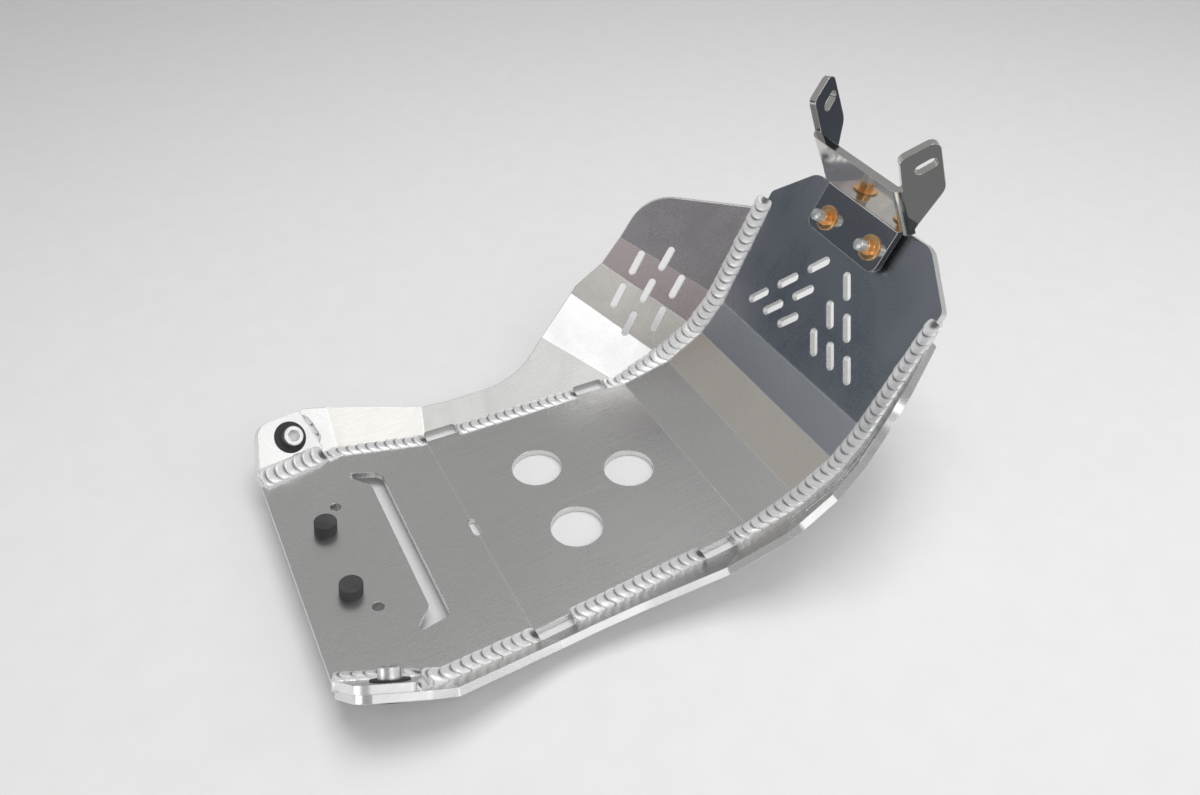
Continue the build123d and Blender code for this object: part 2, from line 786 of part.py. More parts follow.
def seam_bead(start, end, reach, lift=0.0):
    """Ripple bead along the seam from one distance to another, before the plates are cut away."""
    loops = []
    for at, height, bow, number in ripple_rows(start, end):
        place, run, normal, gap, slope = seam_frame(at)
        out = normal.cross(run)
        wander = 0.25 * sin(1.9 * number) + 0.15 * sin(3.7 * number + 1)
        ease = min(1.0, 0.45 + (at - start) / 9.0, 0.45 + (end - at) / 9.0)
        up = out * cos(radians(slope)) + normal * sin(radians(slope))
        root = place - normal * sheet + out * gap
        grow = reach(at) + wander
        toe_wing, inward = on_wing(root + up * grow)
        sunk = toe_wing - inward * 1.0
        toe_wing = toe_wing + inward * lift
        toe_base = place - out * (toe_on_base + 0.6 * wander)
        chord = toe_wing - toe_base
        away = unit(run.cross(chord))
        away = away if away.dot(normal) > 0 else -away
        crown = []
        for c in range(bead_columns):
            q = c / (bead_columns - 1)
            arch = 4 * q * (1 - q)
            rise = ease * (crown_height * arch**0.7 + ripple_height * height * arch**0.4)
            crown.append(toe_base + chord * q + away * rise - run * (ripple_bow * bow * arch))
        loops.append(
            crown
            + [
                sunk,
                root + out * 0.8,
                place - normal * sheet - out * 0.8,
                toe_base - normal * 1.0,
            ]
        )
    return closed_solid(loops)


def boss_front_bead():
    """Short bead up the front edge of a boss plate, on the wing tab."""
    plane = facets[0]
    low, high = boss_outline[3], boss_outline[2]
    path = [
        Vector(boss_outline[4][0], boss_bead_start),
        Vector(low[0] + 0.4, low[1]),
        Vector(high[0] + 0.6, high[1] - boss_bead_short),
    ]
    runs = [b - a for a, b in zip(path, path[1:])]
    total = sum(r.length for r in runs)
    loops = []
    for at, height, bow, number in ripple_rows(0.0, total):
        i = 0 if at < runs[0].length else 1
        rest = at if i == 0 else at - runs[0].length
        spot = path[i] + unit(runs[i]) * rest
        run = unit(runs[0] * (1 - at / total) + runs[1] * (at / total))
        side = Vector(run.Y, -run.X)
        ease = min(1.0, 0.5 + at / 8.0, 0.5 + (total - at) / 8.0)
        toe = spot + side * (boss_front_toe * ease + 0.3 * sin(2.3 * number))
        crown = []
        columns = bead_columns - 2
        for c in range(columns):
            q = c / (columns - 1)
            arch = 4 * q * (1 - q)
            base = spot - side * 1.2 + (toe - spot + side * 1.2) * q
            lift = sheet * (1 - q) + ease * (1.1 * arch**0.7 + 0.6 * height * arch**0.5)
            base = base - run * (0.6 * ripple_bow * bow * arch)
            crown.append(plane.from_local_coords(Vector(base.X, base.Y, lift)))
        deep = [toe, spot - side * 1.2]
        loops.append(crown + [plane.from_local_coords(Vector(p.X, p.Y, -1.0)) for p in deep])
    return closed_solid(loops)


def largest(shape):
    return max(shape.solids(), key=lambda s: s.volume)


def make_beads(base, wing, boss):
    """Ripple weld beads of the left side, cut to lie on the plates that they join."""
    rear = 1.0
    boss_end = boss_outline[4][0] - bead_lap
    bend = station_distance(2)
    first, second = bend + drain_first, bend + drain_second
    last = station_distance(7)
    front = station_distance(4)

    def plain(at):
        grow = min(1.0, max(0.0, (at - station_distance(3)) / (front - station_distance(3))))
        return toe_on_wing + (toe_on_front_wing - toe_on_wing) * grow

    def at_boss(at):
        return toe_on_boss

    raw = {
        "weld_boss_base": seam_bead(rear, boss_end, at_boss, sheet),
        "weld_tab": seam_bead(boss_end + 0.05, first, plain),
        "weld_middle": seam_bead(first + drain_length, second, plain),
        "weld_front": seam_bead(second + drain_length, last, plain),
        "weld_boss_front": boss_front_bead(),
    }
    beads = {}
    for name, solid in raw.items():
        cut = solid - base - wing
        if name in ("weld_boss_base", "weld_boss_front", "weld_tab"):
            cut = cut - boss
        beads[name] = largest(cut)
    beads["weld_boss_front"] = largest(beads["weld_boss_front"] - beads["weld_boss_base"] - beads["weld_tab"])
    return beads


def build():
    base = make_base_plate()
    left_wing = make_wing(fold_heights_left, middle_edge_left, front_foot_left)
    right_wing = make_wing(fold_heights_right, middle_edge_right, front_foot_right)
    right_wing = mirror(right_wing, about=Plane.XZ)
    boss = make_boss_plate()
    parts = {
        "base_plate": base,
        "wing_left": left_wing,
        "wing_right": right_wing,
        "boss_plate_left": boss,
        "grommet_left": make_grommet(),
        "sleeve_left": make_sleeve(),
        "front_bracket": make_front_bracket(),
    }
    for name, bead in make_beads(base, left_wing, boss).items():
        parts[name + "_left"] = bead
    for name in [n for n in parts if n.endswith("_left") and n != "wing_left"]:
        parts[name[: -len("_left")] + "_right"] = mirror(parts[name], about=Plane.XZ)
    for side, word in ((1, "left"), (-1, "right")):
        parts["buffer_" + word] = make_buffer(-side)
        parts["buffer_screw_" + word] = make_buffer_screw(-side)
        parts["bracket_bolt_" + word] = make_bolt(side)
        parts["bracket_nut_" + word] = make_nut(side)
        parts["bracket_spacer_" + word] = make_spacer(side)
    return parts


os.makedirs("parts", exist_ok=True)
for name, shape in build().items():
    solids = shape.solids()
    print(name, len(solids), round(sum(s.volume for s in solids)))
    export_step(shape, "parts/" + name + ".step")
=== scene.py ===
import math
import bpy
import bmesh
from mathutils import Matrix, Vector


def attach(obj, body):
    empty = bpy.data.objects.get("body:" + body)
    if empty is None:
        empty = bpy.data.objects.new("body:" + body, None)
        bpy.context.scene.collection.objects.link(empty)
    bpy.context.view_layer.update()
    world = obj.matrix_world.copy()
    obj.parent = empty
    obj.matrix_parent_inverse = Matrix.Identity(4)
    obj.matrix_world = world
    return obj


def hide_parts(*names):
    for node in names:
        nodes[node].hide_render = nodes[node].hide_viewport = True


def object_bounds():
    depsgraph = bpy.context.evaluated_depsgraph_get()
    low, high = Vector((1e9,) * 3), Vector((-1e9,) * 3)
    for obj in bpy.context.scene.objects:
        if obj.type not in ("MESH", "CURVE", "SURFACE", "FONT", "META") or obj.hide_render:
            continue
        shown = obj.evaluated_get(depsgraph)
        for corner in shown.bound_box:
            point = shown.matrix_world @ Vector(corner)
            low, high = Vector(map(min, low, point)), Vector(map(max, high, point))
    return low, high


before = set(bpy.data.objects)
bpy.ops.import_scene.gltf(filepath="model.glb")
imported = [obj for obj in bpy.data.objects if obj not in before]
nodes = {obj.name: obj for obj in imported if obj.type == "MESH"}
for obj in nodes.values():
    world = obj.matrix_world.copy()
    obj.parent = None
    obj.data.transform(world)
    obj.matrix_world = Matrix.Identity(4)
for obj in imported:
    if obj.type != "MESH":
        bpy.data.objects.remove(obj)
cad_low, cad_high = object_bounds()
MM = 0.001
SIDES = (("left", 1), ("right", -1))


# Camera: the photograph's own view, in metres.
LENS, SENSOR = 28.595, 36.0
CAMERA_PLACE = (-0.206586, -0.434887, 0.496572)
CAMERA_RIGHT = (0.8848134, -0.4657604, -0.0131307)
CAMERA_DOWN = (-0.3103057, -0.5680029, -0.7622881)
CAMERA_AHEAD = (0.3475854, 0.6785573, -0.6471047)


def make_camera():
    """Camera fitted to the photograph's edges."""
    data = bpy.data.cameras.new("camera")
    data.sensor_fit = "HORIZONTAL"
    data.sensor_width = SENSOR
    data.lens = LENS
    data.clip_start = 0.01
    data.clip_end = 50.0
    turn = Matrix((Vector(CAMERA_RIGHT), -Vector(CAMERA_DOWN), -Vector(CAMERA_AHEAD))).transposed()
    camera = bpy.data.objects.new("camera", data)
    bpy.context.collection.objects.link(camera)
    camera.matrix_world = Matrix.Translation(CAMERA_PLACE) @ turn.to_4x4()
    bpy.context.scene.camera = camera


make_camera()
bpy.context.scene.view_settings.view_transform = "Standard"


# Seam and facets.
# The seam in millimetres, as the solids have it: side view of the base plate's upper
# face, its half widths and root gaps, and the slope of each wing facet.
SHEET = 5.0
RUNS = ((122.6, -9.5), (165.0, 0.0), (40.5, 15.3), (35.7, 30.3), (29.9, 50.3), (88.0, 62.1))
WAIST = 62.9
HALVES = (86.3, 105.5, 97.7, 89.6, 89.4, 89.4, 89.4, 92.6)
GAPS = (2.7, 2.0, 3.2, 3.2, 3.2, 3.2, 3.2, 0.8)
SLOPES = (46.5, 46.3, 45.1, 51.0, 54.3, 55.8, 55.6)
DRAIN_LENGTH, DRAIN_FIRST, DRAIN_SECOND = 24.8, 0.8, 125.3
BEND_BLEND = 5.0

# Ripples: pitch along the bead, how far one bows back, and its height on either side. One
# rises over the first share of its pitch and falls over the rest.
PITCH, BOW, BOW_START = 6.9, 3.4, 0.4
RELIEF = {1: 0.75, -1: 0.50}
RISE_SHARE, FALL_POWER = 0.14, 1.6
ROW_STEP = 0.33

# Beads: crown, the shapes of crown and ripple across the bead, the rounded ends and the
# uneven toes. A toe is the reach of a bead over the wing, the boss plate or the base plate.
CROWN, CROWN_POWER, RELIEF_POWER, RELIEF_DRIFT = 1.7, 0.7, 0.4, 0.3
END_ROUND, END_HEIGHT, END_WING, END_BASE = 4.5, 0.12, 0.72, 0.5
WANDER_SWELL, WANDER_RIPPLE, WANDER_BASE = 0.35, 0.4, 0.6
TOE_WING, TOE_FRONT, TOE_BOSS = 7.6, 11.6, 14.0
TOE_BASE, TOE_BASE_FRONT = 4.0, 6.4
SUNK = 0.8
COLUMNS = 21

# The short bead up a boss plate's front edge, with points along the tab and up it.
BOSS_EDGE = ((51.0, 15.5), (49.0, 30.0), (46.2, 38.4))
BOSS_TOE, BOSS_HEEL, BOSS_DRIFT = 5.0, 1.2, 0.3
BOSS_CROWN, BOSS_RELIEF, BOSS_RELIEF_POWER, BOSS_BOW = 1.1, 0.6, 0.5, 0.6
BOSS_ROUND, BOSS_END, BOSS_COLUMNS = 8.0, 0.5, 15
BOSS_OVERLAP = 0.6
REAR_START, BEAD_GAP = 1.0, 0.05


def seam_stations():
    """Corners of the base plate's upper side edge: rear, waist, bends and the weld's end."""
    x, z = -RUNS[1][0] / 2, SHEET
    level = math.radians(RUNS[0][1])
    places = [
        (x - RUNS[0][0] * math.cos(level), z - RUNS[0][0] * math.sin(level)),
        (x - WAIST * math.cos(level), z - WAIST * math.sin(level)),
        (x, z),
    ]
    for length, rise in RUNS[1:]:
        x += length * math.cos(math.radians(rise))
        z += length * math.sin(math.radians(rise))
        places.append((x, z))
    return [Vector((px, half, pz)) for (px, pz), half in zip(places, HALVES)]


STATIONS = seam_stations()


def facet_frames():
    """Root point, direction along the root, up the wing and into the bowl for each facet."""
    frames = []
    for i, slope in enumerate(SLOPES):
        a, b = STATIONS[i], STATIONS[i + 1]
        level = Vector((b.x - a.x, 0, b.z - a.z)).normalized()
        normal = Vector((-level.z, 0, level.x))
        start = a + Vector((0, GAPS[i], 0)) - normal * SHEET
        end = b + Vector((0, GAPS[i + 1], 0)) - normal * SHEET
        run = (end - start).normalized()
        out = normal.cross(run)
        lean = math.radians(slope)
        up = out * math.cos(lean) + normal * math.sin(lean)
        frames.append((start, run, up, run.cross(up)))
    return frames


FACETS = facet_frames()


# Materials.
# Near white painted onto the sheet's rounded edges and folds as a highlight.
PAINTED_EDGE_HIGHLIGHT = (0.93, 0.93, 0.93, 1)
WELD_METALLIC = 0.55


class Graph:
    """Small helper over a material's node tree."""

    def __init__(self, name):
        self.mat = bpy.data.materials.new(name)
        self.mat.use_nodes = True
        self.tree = self.mat.node_tree
        self.shader = self.tree.nodes["Principled BSDF"]
        self.coord = self.new("ShaderNodeTexCoord").outputs["Object"]

    def new(self, kind, **values):
        node = self.tree.nodes.new(kind)
        for key, value in values.items():
            setattr(node, key, value)
        return node

    def link(self, a, b):
        self.tree.links.new(a, b)
        return b

    def put(self, socket, value):
        if hasattr(value, "is_output"):
            self.link(value, socket)
        else:
            socket.default_value = value

    def mapping(self, scale, turn=(0, 0, 0)):
        node = self.new("ShaderNodeMapping")
        node.inputs["Scale"].default_value = scale
        node.inputs["Rotation"].default_value = turn
        self.link(self.coord, node.inputs["Vector"])
        return node.outputs["Vector"]

    def noise(self, scale, detail=4.0, rough=0.5, vector=None, distortion=0.0):
        node = self.new("ShaderNodeTexNoise")
        node.inputs["Scale"].default_value = scale
        node.inputs["Detail"].default_value = detail
        node.inputs["Roughness"].default_value = rough
        node.inputs["Distortion"].default_value = distortion
        self.link(vector if vector is not None else self.coord, node.inputs["Vector"])
        return node.outputs["Fac"]

    def math(self, kind, a, b=0.0, clamp=False):
        node = self.new("ShaderNodeMath", operation=kind, use_clamp=clamp)
        self.put(node.inputs[0], a)
        self.put(node.inputs[1], b)
        return node.outputs[0]

    def remap(self, value, low, high, to_low=0.0, to_high=1.0, smooth=False):
        node = self.new("ShaderNodeMapRange", clamp=True)
        if smooth:
            node.interpolation_type = "SMOOTHSTEP"
        self.put(node.inputs["Value"], value)
        for key, number in (("From Min", low), ("From Max", high), ("To Min", to_low), ("To Max", to_high)):
            self.put(node.inputs[key], number)
        return node.outputs["Result"]

    def mix(self, factor, a, b, blend="MIX"):
        node = self.new("ShaderNodeMix", data_type="RGBA", blend_type=blend)
        self.put(node.inputs["Factor"], factor)
        self.put(node.inputs["A"], a)
        self.put(node.inputs["B"], b)
        return node.outputs["Result"]

    def dot(self, vector):
        """Dot product of object coordinates with a fixed vector."""
        node = self.new("ShaderNodeVectorMath", operation="DOT_PRODUCT")
        self.link(self.coord, node.inputs[0])
        node.inputs[1].default_value = vector
        return node.outputs["Value"]

    def facing(self, direction, low, high):
        """1 on faces that look the way of a direction, 0 on the others and on cut edges."""
        geometry = self.new("ShaderNodeNewGeometry")
        turn = self.new("ShaderNodeVectorTransform", vector_type="NORMAL")
        turn.convert_from, turn.convert_to = "WORLD", "OBJECT"
        self.link(geometry.outputs["True Normal"], turn.inputs[0])
        node = self.new("ShaderNodeVectorMath", operation="DOT_PRODUCT")
        self.link(turn.outputs[0], node.inputs[0])
        node.inputs[1].default_value = direction
        return self.remap(node.outputs["Value"], low, high)

    def bump(self, height, strength, distance, normal=None):
        node = self.new("ShaderNodeBump")
        node.inputs["Strength"].default_value = strength
        node.inputs["Distance"].default_value = distance
        self.link(height, node.inputs["Height"])
        if normal is not None:
            self.link(normal, node.inputs["Normal"])
        return node.outputs["Normal"]

    def round_edges(self, radius):
        node = self.new("ShaderNodeBevel", samples=6)
        node.inputs["Radius"].default_value = radius
        return node.outputs["Normal"]

    def edge_mask(self, rounded):
        """1 where a rounded edge turns away from the face, 0 on open faces."""
        geometry = self.new("ShaderNodeNewGeometry")
        node = self.new("ShaderNodeVectorMath", operation="DOT_PRODUCT")
        self.link(rounded, node.inputs[0])
        self.link(geometry.outputs["Normal"], node.inputs[1])
        return self.remap(node.outputs["Value"], 0.999, 0.93, 0.0, 1.0)

    def finish(self, color, rough, normal, metallic=1.0):
        self.put(self.shader.inputs["Base Color"], color)
        self.put(self.shader.inputs["Roughness"], rough)
        self.shader.inputs["Metallic"].default_value = metallic
        if normal is not None:
            self.link(normal, self.shader.inputs["Normal"])
        return self.mat


def sheet_aluminium(name, tones, lines=(), grain_turn=0.0, rough=(0.24, 0.34), grain=0.09):
    """Mill-finish sheet: fine rolling grain, faint smears and small scratches.

    tones starts with the sheet's colour. Each further entry is (point, along, facing,
    sharpness, colour): a painted reflection that starts where a fold through the point ends,
    on faces that look the way of facing. lines are folds (point, along, colour) with a thin
    painted highlight line. Rounded edges and folds also get a painted highlight."""
    g = Graph(name)
    color = tones[0]
    for point, along, facing, sharpness, tint in tones[1:]:
        share = g.facing(facing, *sharpness)
        if along is not None:
            offset = Vector(point).dot(Vector(along))
            past = g.remap(g.dot(along), offset - 0.5 * MM, offset + 0.5 * MM, smooth=True)
            share = g.math("MULTIPLY", share, past)
        color = g.mix(share, color, tint)
    # Painted highlight: a thin pale line along each fold.
    for point, along, tint in lines:
        off = g.math("ABSOLUTE", g.math("SUBTRACT", g.dot(along), Vector(point).dot(Vector(along))))
        patchy = g.remap(g.noise(70.0, 3.0, 0.6), 0.3, 0.65, 0.35, 0.85)
        line = g.math("MULTIPLY", g.remap(off, 0.25 * MM, 0.6 * MM, 1.0, 0.0, smooth=True), patchy)
        color = g.mix(line, color, tint)
    rolled = g.noise(1.0, 3.0, 0.6, g.mapping((24.0, 2600.0, 900.0), (0, 0, grain_turn)))
    fine = g.noise(1.0, 2.0, 0.5, g.mapping((140.0, 5200.0, 2400.0), (0, 0, grain_turn)))
    smear = g.noise(16.0, 5.0, 0.62, distortion=0.6)
    cloud = g.noise(5.0, 2.0, 0.5)
    scratch_field = g.noise(1.0, 1.0, 0.5, g.mapping((18.0, 900.0, 500.0), (0.2, 0.1, grain_turn + 0.5)))
    scratch = g.remap(scratch_field, 0.70, 0.76)
    shade = g.remap(rolled, 0.3, 0.7, 0.93, 1.06)
    shade = g.math("MULTIPLY", shade, g.remap(cloud, 0.3, 0.7, 0.96, 1.03))
    shade = g.math("MULTIPLY", shade, g.remap(smear, 0.35, 0.7, 1.02, 0.965))
    grey = g.new("ShaderNodeCombineColor")
    for key in ("Red", "Green", "Blue"):
        g.link(shade, grey.inputs[key])
    color = g.mix(1.0, color, grey.outputs["Color"], "MULTIPLY")
    rounded = g.round_edges(0.0006)
    edge = g.edge_mask(rounded)
    # Painted highlight: rounded edges and folds mixed towards near white.
    color = g.mix(g.math("MULTIPLY", edge, 0.6), color, PAINTED_EDGE_HIGHLIGHT)
    height = g.math("ADD", g.math("MULTIPLY", rolled, 0.6), g.math("MULTIPLY", fine, 0.4))
    height = g.math("SUBTRACT", height, g.math("MULTIPLY", scratch, 0.25))
    normal = g.bump(height, grain, 0.00012, rounded)
    r = g.remap(smear, 0.3, 0.72, rough[0], rough[1])
    r = g.math("ADD", r, g.math("MULTIPLY", g.math("SUBTRACT", rolled, 0.5), 0.10))
    r = g.math("SUBTRACT", r, g.math("MULTIPLY", edge, 0.08), clamp=True)
    return g.finish(color, r, normal)


def weld_metal(name):
    """Bright weld metal with a frosted skin, and painted shade in the valleys between ripples."""
    g = Graph(name)
    tint = g.noise(60.0, 4.0, 0.6)
    color = g.mix(g.remap(tint, 0.35, 0.7), (0.95, 0.95, 0.945, 1), (0.86, 0.865, 0.87, 1))
    valley_shade = g.new("ShaderNodeAttribute", attribute_name="valley_shade").outputs["Fac"]
    # Painted shade: the valleys between ripples mixed towards near black.
    color = g.mix(g.remap(valley_shade, 0.52, 0.92, 0.0, 0.95), color, (0.15, 0.155, 0.175, 1))
    frost = g.noise(900.0, 4.0, 0.6)
    normal = g.bump(frost, 0.10, 0.00012)
    r = g.remap(g.noise(240.0, 3.0, 0.6), 0.35, 0.7, 0.24, 0.38)
    return g.finish(color, r, normal, WELD_METALLIC)


def rubber(name, tone):
    """Matt rubber with a fine grain and a little dust."""
    g = Graph(name)
    spots = g.noise(420.0, 4.0, 0.6)
    dust = g.noise(35.0, 4.0, 0.6)
    dark = (tone * 0.7, tone * 0.7, tone * 0.74, 1)
    light = (tone * 1.6, tone * 1.6, tone * 1.62, 1)
    color = g.mix(g.remap(dust, 0.4, 0.75), dark, light)
    rounded = g.round_edges(0.0004)
    normal = g.bump(spots, 0.25, 0.0001, rounded)
    r = g.remap(dust, 0.3, 0.7, 0.48, 0.68)
    mat = g.finish(color, r, normal, 0.0)
    g.shader.inputs["Specular IOR Level"].default_value = 0.45
    return mat


def turned_steel(name, base=(0.66, 0.66, 0.67), rough=(0.18, 0.32)):
    """Plated steel with faint stains and fine lines from the lathe."""
    g = Graph(name)
    stains = g.noise(180.0, 4.0, 0.6)
    lines = g.noise(1.0, 2.0, 0.5, g.mapping((900.0, 900.0, 4200.0)))
    darker = (base[0] * 0.82, base[1] * 0.82, base[2] * 0.84, 1)
    color = g.mix(g.remap(stains, 0.35, 0.7), (*base, 1), darker)
    rounded = g.round_edges(0.0003)
    normal = g.bump(lines, 0.10, 0.00008, rounded)
    r = g.remap(stains, 0.3, 0.7, *rough)
    return g.finish(color, r, normal)


def yellow_zinc(name):
    """Yellow zinc plating: gold that drifts between orange and pale."""
    g = Graph(name)
    drift = g.noise(110.0, 3.0, 0.55, distortion=0.8)
    ramp = g.new("ShaderNodeValToRGB")
    ramp.color_ramp.elements[0].position = 0.25
    ramp.color_ramp.elements[0].color = (1.0, 0.50, 0.20, 1)
    ramp.color_ramp.elements[1].position = 0.75
    ramp.color_ramp.elements[1].color = (1.0, 0.68, 0.38, 1)
    middle = ramp.color_ramp.elements.new(0.5)
    middle.color = (1.0, 0.62, 0.30, 1)
    g.link(drift, ramp.inputs["Fac"])
    stains = g.noise(420.0, 3.0, 0.6)
    rounded = g.round_edges(0.0003)
    normal = g.bump(stains, 0.08, 0.00006, rounded)
    return g.finish(ramp.outputs["Color"], g.remap(stains, 0.3, 0.7, 0.16, 0.28), normal)


# Painted reflections on the folded sheet's inner faces, and painted highlights on its folds.
# The base plate's painted reflection tints start at the bends with those numbers; a wing has
# one painted reflection tint for each facet, from the rear, under 1 for the left wing and -1 for the right.
BENDS = (2, 3, 4, 5, 6)
BASE_TONE = (0.74, 0.74, 0.73, 1)
AHEAD = (1, 0, 0)
BROAD, NARROW = (0.5, 0.8), (0.86, 0.95)
BASE_IN = (-0.6, 0.0, 0.8)
PAINTED_FOLD_HIGHLIGHT = (0.93, 0.93, 0.92, 1)
EAR_LEFT_IN, EAR_RIGHT_OUT = (0.33, -0.93, 0.16), (-0.33, -0.93, -0.16)
# Painted reflections: beige from bend 4, slate grey from bend 5, dark slate on the front plate from bend 6.
BASE_PAINTED_REFLECTIONS = {
    4: (0.84, 0.79, 0.73, 1),
    5: (0.54, 0.57, 0.615, 1),
    6: (0.45, 0.475, 0.52, 1),
}
# Painted reflections, lighter or darker facet by facet; the left wing's set is lighter overall.
WING_PAINTED_REFLECTIONS = {
    1: (
        (0.84, 0.84, 0.83, 1),
        (0.80, 0.785, 0.75, 1),
        (0.57, 0.57, 0.555, 1),
        (0.85, 0.85, 0.85, 1),
        (0.55, 0.53, 0.50, 1),
        (0.80, 0.70, 0.705, 1),
        (0.58, 0.555, 0.58, 1),
    ),
    -1: (
        (0.80, 0.80, 0.80, 1),
        (0.66, 0.655, 0.645, 1),
        (0.54, 0.54, 0.54, 1),
        (0.60, 0.58, 0.55, 1),
        (0.56, 0.56, 0.56, 1),
        (0.58, 0.58, 0.59, 1),
        (0.60, 0.60, 0.61, 1),
    ),
}


def base_material():
    bends = [(station.x * MM, 0.0, 0.0) for station in STATIONS]
    tones = [BASE_TONE]
    tones += [(bends[k], AHEAD, BASE_IN, BROAD, tint) for k, tint in BASE_PAINTED_REFLECTIONS.items()]
    lines = [(bends[k], AHEAD, PAINTED_FOLD_HIGHLIGHT) for k in BENDS]
    return sheet_aluminium("sheet_base", tones, lines)


FOLD_STEPS = 60


def wing_folds(side):
    """A point on each fold of a wing, in metres, and the direction across the fold."""
    folds = []
    for (start, _, _, inward), (start_2, run_2, _, inward_2) in zip(FACETS, FACETS[1:]):
        # Moved onto one facet's plane and the other's in turn, the point ends on their fold.
        point = start_2.copy()
        for _ in range(FOLD_STEPS):
            point -= inward * (point - start).dot(inward)
            point -= inward_2 * (point - start_2).dot(inward_2)
        across = (inward - inward_2).normalized()
        if across.dot(run_2) < 0:
            across = -across
        folds.append((point * MM, across))
    return [((p.x, p.y * side, p.z), (a.x, a.y * side, a.z)) for p, a in folds]


def wing_material(name, side):
    folds = wing_folds(side)
    facing = Vector((-0.15, -0.8 * side, 0.55)).normalized()
    tones = [WING_PAINTED_REFLECTIONS[side][0]]
    tones += [(p, a, facing, BROAD, tint) for (p, a), tint in zip(folds, WING_PAINTED_REFLECTIONS[side][1:])]
    lines = [(p, a, PAINTED_FOLD_HIGHLIGHT) for p, a in folds]
    return sheet_aluminium(name, tones, lines, 0.1, (0.22, 0.34))


def bracket_material():
    tones = [
        (0.66, 0.65, 0.63, 1),
        # Painted reflections: near black on the left ear's inner face, dark grey on the right ear's outer
        # face.
        (None, None, EAR_LEFT_IN, NARROW, (0.036, 0.043, 0.058, 1)),
        (None, None, EAR_RIGHT_OUT, NARROW, (0.16, 0.16, 0.158, 1)),
    ]
    return sheet_aluminium("sheet_bracket", tones, (), 0.3, (0.05, 0.09), 0.006)


metals = {
    "base_plate": base_material(),
    "wing_left": wing_material("sheet_wing_left", 1),
    "wing_right": wing_material("sheet_wing_right", -1),
    "boss": sheet_aluminium("sheet_boss", [(0.93, 0.93, 0.92, 1)], (), 0.4, (0.30, 0.42)),
    "bracket": bracket_material(),
    "weld": weld_metal("weld_metal"),
    "rubber": rubber("rubber_black", 0.030),
    "buffer": rubber("rubber_buffer", 0.060),
    "steel": turned_steel("steel_turned"),
    "tip": turned_steel("steel_tip", (0.86, 0.86, 0.86), (0.30, 0.42)),
    "sleeve": turned_steel("steel_sleeve", (0.88, 0.88, 0.88), (0.24, 0.36)),
    "zinc": yellow_zinc("zinc_yellow_plating"),
}


def dress(name, key):
    obj = nodes[name]
    obj.data.materials.clear()
    obj.data.materials.append(metals[key])


dress("base_plate", "base_plate")
dress("front_bracket", "bracket")
for word, _ in SIDES:
    dress("wing_" + word, "wing_" + word)
    dress("boss_plate_" + word, "boss")
    dress("grommet_" + word, "rubber")
    dress("sleeve_" + word, "sleeve")
    dress("buffer_" + word, "buffer")
    dress("buffer_screw_" + word, "steel")
    dress("bracket_bolt_" + word, "steel")
    dress("bracket_spacer_" + word, "rubber")


# Weld beads.
def on_wing(point):
    """Point moved square to the wing onto its inner face, and the face's direction there."""
    depth, i = min(((point - start).dot(inward), k) for k, (start, _, _, inward) in enumerate(FACETS))
    return point - FACETS[i][3] * depth, FACETS[i][3]


def seam_length(count):
    """Length of the seam over its first stretches."""
    return sum((b - a).length for a, b in zip(STATIONS[:count], STATIONS[1 : count + 1]))


def seam_frame(distance):
    """Place on the base plate's upper edge, directions, root gap and wing slope there."""
    runs = [b - a for a, b in zip(STATIONS, STATIONS[1:])]
    starts = [seam_length(k) for k in range(len(STATIONS))]
    i = max(k for k in range(len(runs)) if distance >= starts[k] or k == 0)
    place = STATIONS[i] + runs[i].normalized() * (distance - starts[i])

    def directions(k):
        level = Vector((runs[k].x, 0, runs[k].z)).normalized()
        return runs[k].normalized(), Vector((-level.z, 0, level.x)), SLOPES[k]

    run, normal, slope = directions(i)
    for k, other in ((i, i - 1), (i + 1, i + 1)):
        near = abs(distance - starts[k])
        if near < BEND_BLEND and 0 <= other < len(runs):
            share = 0.5 * (1 - near / BEND_BLEND)
            run_2, normal_2, slope_2 = directions(other)
            run = (run * (1 - share) + run_2 * share).normalized()
            normal = (normal * (1 - share) + normal_2 * share).normalized()
            slope = slope * (1 - share) + slope_2 * share
    normal = (normal - run * normal.dot(run)).normalized()
    part = (distance - starts[i]) / runs[i].length
    gap = GAPS[i] + (GAPS[i + 1] - GAPS[i]) * part
    return place, run, normal, gap, slope


def ripple_rows(start, end):
    """Distances along a bead with each row's ripple height, bow and ripple number."""
    count = max(2, round((end - start) / PITCH))
    pitch = (end - start) / count
    steps = max(6, round(pitch / ROW_STEP))
    rows = []
    for i in range(count):
        for k in range(steps):
            phase = k / steps
            if phase < RISE_SHARE:
                height = math.sin(0.5 * math.pi * phase / RISE_SHARE)
            else:
                height = 1.0 - ((phase - RISE_SHARE) / (1 - RISE_SHARE)) ** FALL_POWER
            past = (i + phase) * pitch
            bow = max(0.0, min(1.0, (past - BOW_START) / BOW))
            rows.append((start + past, height, bow, i))
    rows.append((end, 0.0, 0.0, count))
    return rows


def swell(number):
    """Small differences from ripple to ripple."""
    waves = ((0.5, 1.9, 0), (0.3, 3.7, 1), (0.2, 7.3, 2))
    return sum(size * math.sin(pace * number + start) for size, pace, start in waves)


